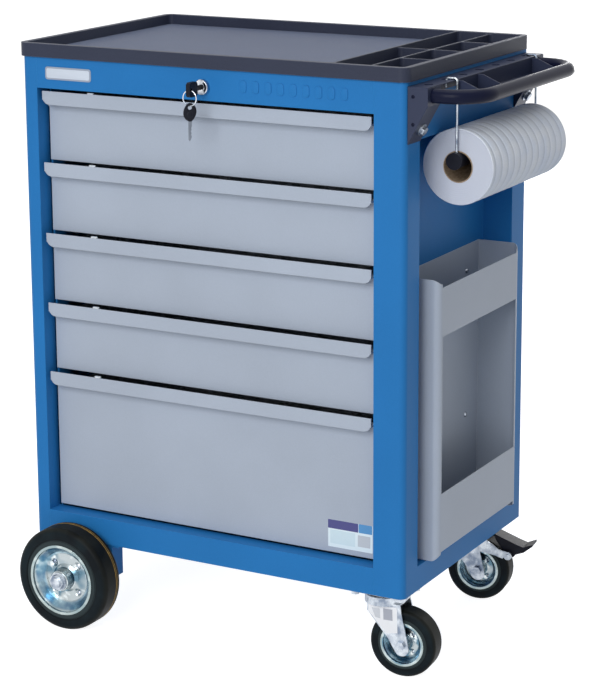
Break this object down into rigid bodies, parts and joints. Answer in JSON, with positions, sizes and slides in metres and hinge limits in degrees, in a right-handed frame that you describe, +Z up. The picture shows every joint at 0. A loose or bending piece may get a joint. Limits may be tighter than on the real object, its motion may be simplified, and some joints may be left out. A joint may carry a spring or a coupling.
{
  "type": "tool cart",
  "caption": "Wheeled workshop tool cart with drawers, compartment worktop, push handle, holder shelf with paper roll and a side rack.",
  "frame": {"origin": "on the floor under the middle of the overall box", "axes": "+Z up, drawers open towards -Y, handle side towards +X"},
  "size_m": [0.738, 0.5482, 0.886],
  "materials": {
    "blue_paint": "satin powder coat",
    "grey_paint": "satin powder coat",
    "inner_grey": "matt powder coat",
    "tray_black": "grained",
    "mat_rubber": "ribbed",
    "black_paint": "satin powder coat",
    "black_plastic": "satin",
    "zinc": "zinc plated",
    "chrome": "polished",
    "tyre": "matt",
    "paper": "embossed",
    "cardboard": "plain"
  },
  "bodies": {
    "cabinet": {"side_panel_left": "blue_paint", "side_panel_right": "blue_paint", "recess_pan": "blue_paint", "back_panel": "blue_paint", "base_pan": "blue_paint", "top_deck": "blue_paint", "front_fascia": "blue_paint", "front_rail": "blue_paint", "slide_uprights": "blue_paint", "slide_outer_members": "zinc", "top_tray": "tray_black", "tray_mat": "mat_rubber", "handle_brackets": "black_paint", "bracket_bolts": "zinc", "push_handle": "black_paint", "holder_shelf": "black_paint", "roll_wires": "zinc", "roll_spindle": "black_plastic", "side_rack": "grey_paint", "lock_barrel": "chrome", "bar_guides": "black_plastic", "axle_brackets": "blue_paint", "stub_axles": "zinc", "caster_plates": "zinc"},
    "drawer_1": {"drawer_1_front": "grey_paint", "drawer_1_box": "inner_grey"},
    "middle_1": {"slide_1_middle": "zinc"},
    "drawer_2": {"drawer_2_front": "grey_paint", "drawer_2_box": "inner_grey"},
    "middle_2": {"slide_2_middle": "zinc"},
    "drawer_3": {"drawer_3_front": "grey_paint", "drawer_3_box": "inner_grey"},
    "middle_3": {"slide_3_middle": "zinc"},
    "drawer_4": {"drawer_4_front": "grey_paint", "drawer_4_box": "inner_grey"},
    "middle_4": {"slide_4_middle": "zinc"},
    "drawer_5": {"drawer_5_front": "grey_paint", "drawer_5_box": "inner_grey"},
    "middle_5": {"slide_5_middle": "zinc"},
    "lock_turner": {"lock_plug": "chrome", "lock_key": "black_plastic", "lock_shaft": "zinc"},
    "locking_bar": {"lock_bar": "zinc"},
    "keys": {"key_ring": "chrome", "spare_key": "black_plastic"},
    "wheel_front": {"wheel_front_tyre": "tyre", "wheel_front_rim": "zinc"},
    "wheel_rear": {"wheel_rear_tyre": "tyre", "wheel_rear_rim": "zinc"},
    "caster_front": {"caster_front_fork": "zinc", "caster_front_axle": "zinc"},
    "caster_front_wheel": {"caster_front_tyre": "tyre", "caster_front_rim": "zinc"},
    "caster_rear": {"caster_rear_fork": "zinc", "caster_rear_axle": "zinc"},
    "caster_rear_wheel": {"caster_rear_tyre": "tyre", "caster_rear_rim": "zinc"},
    "brake": {"caster_rear_pedal": "black_plastic"},
    "roll": {"roll_core": "cardboard", "paper_roll": "paper"}
  },
  "joints": [
    {"name": "drawer_1_slide", "type": "slide", "parent": "cabinet", "child": "drawer_1", "axis": [0, -1, 0], "range_m": [0, 0.34]},
    {"name": "middle_1_slide", "type": "slide", "parent": "cabinet", "child": "middle_1", "axis": [0, -1, 0], "range_m": [0, 0.17]},
    {"name": "drawer_2_slide", "type": "slide", "parent": "cabinet", "child": "drawer_2", "axis": [0, -1, 0], "range_m": [0, 0.34]},
    {"name": "middle_2_slide", "type": "slide", "parent": "cabinet", "child": "middle_2", "axis": [0, -1, 0], "range_m": [0, 0.17]},
    {"name": "drawer_3_slide", "type": "slide", "parent": "cabinet", "child": "drawer_3", "axis": [0, -1, 0], "range_m": [0, 0.34]},
    {"name": "middle_3_slide", "type": "slide", "parent": "cabinet", "child": "middle_3", "axis": [0, -1, 0], "range_m": [0, 0.17]},
    {"name": "drawer_4_slide", "type": "slide", "parent": "cabinet", "child": "drawer_4", "axis": [0, -1, 0], "range_m": [0, 0.34]},
    {"name": "middle_4_slide", "type": "slide", "parent": "cabinet", "child": "middle_4", "axis": [0, -1, 0], "range_m": [0, 0.17]},
    {"name": "drawer_5_slide", "type": "slide", "parent": "cabinet", "child": "drawer_5", "axis": [0, -1, 0], "range_m": [0, 0.34]},
    {"name": "middle_5_slide", "type": "slide", "parent": "cabinet", "child": "middle_5", "axis": [0, -1, 0], "range_m": [0, 0.17]},
    {"name": "lock_turn", "type": "hinge", "parent": "cabinet", "child": "lock_turner", "pos_m": [-0.053, -0.205, 0.84], "axis": [0, 1, 0], "range_deg": [0, 90]},
    {"name": "locking_bar_slide", "type": "slide", "parent": "cabinet", "child": "locking_bar", "axis": [0, 0, -1], "range_m": [0, 0.008]},
    {"name": "ring_swing", "type": "hinge", "parent": "lock_turner", "child": "keys", "pos_m": [-0.053, -0.242, 0.84], "axis": [1, 0, 0], "range_deg": [-75, 15]},
    {"name": "wheel_front_spin", "type": "hinge", "parent": "cabinet", "child": "wheel_front", "pos_m": [-0.285, -0.236, 0.08], "axis": [0, 1, 0], "continuous": true},
    {"name": "wheel_rear_spin", "type": "hinge", "parent": "cabinet", "child": "wheel_rear", "pos_m": [-0.285, 0.236, 0.08], "axis": [0, 1, 0], "continuous": true},
    {"name": "caster_front_swivel", "type": "hinge", "parent": "cabinet", "child": "caster_front", "pos_m": [0.217, -0.165, 0.111], "axis": [0, 0, 1], "continuous": true},
    {"name": "caster_front_spin", "type": "hinge", "parent": "caster_front", "child": "caster_front_wheel", "pos_m": [0.24888, -0.16221, 0.05], "axis": [-0.0872, 0.9962, 0], "continuous": true},
    {"name": "caster_rear_swivel", "type": "hinge", "parent": "cabinet", "child": "caster_rear", "pos_m": [0.185, 0.165, 0.111], "axis": [0, 0, 1], "continuous": true},
    {"name": "caster_rear_spin", "type": "hinge", "parent": "caster_rear", "child": "caster_rear_wheel", "pos_m": [0.21669, 0.16945, 0.05], "axis": [-0.1392, 0.9903, 0], "continuous": true},
    {"name": "brake_press", "type": "hinge", "parent": "caster_rear", "child": "brake", "pos_m": [0.26521, 0.17627, 0.079], "axis": [-0.1392, 0.9903, 0], "range_deg": [0, 7]},
    {"name": "roll_spin", "type": "hinge", "parent": "cabinet", "child": "roll", "pos_m": [0.298, 0, 0.738], "axis": [0, 1, 0], "continuous": true}
  ],
  "couplings": [
    {"joint": "middle_1_slide", "follows": "drawer_1_slide", "ratio": 0.5},
    {"joint": "middle_2_slide", "follows": "drawer_2_slide", "ratio": 0.5},
    {"joint": "middle_3_slide", "follows": "drawer_3_slide", "ratio": 0.5},
    {"joint": "middle_4_slide", "follows": "drawer_4_slide", "ratio": 0.5},
    {"joint": "middle_5_slide", "follows": "drawer_5_slide", "ratio": 0.5},
    {"joint": "lock_turn", "follows": "locking_bar_slide", "rad_per_m": 196.35}
  ]
}
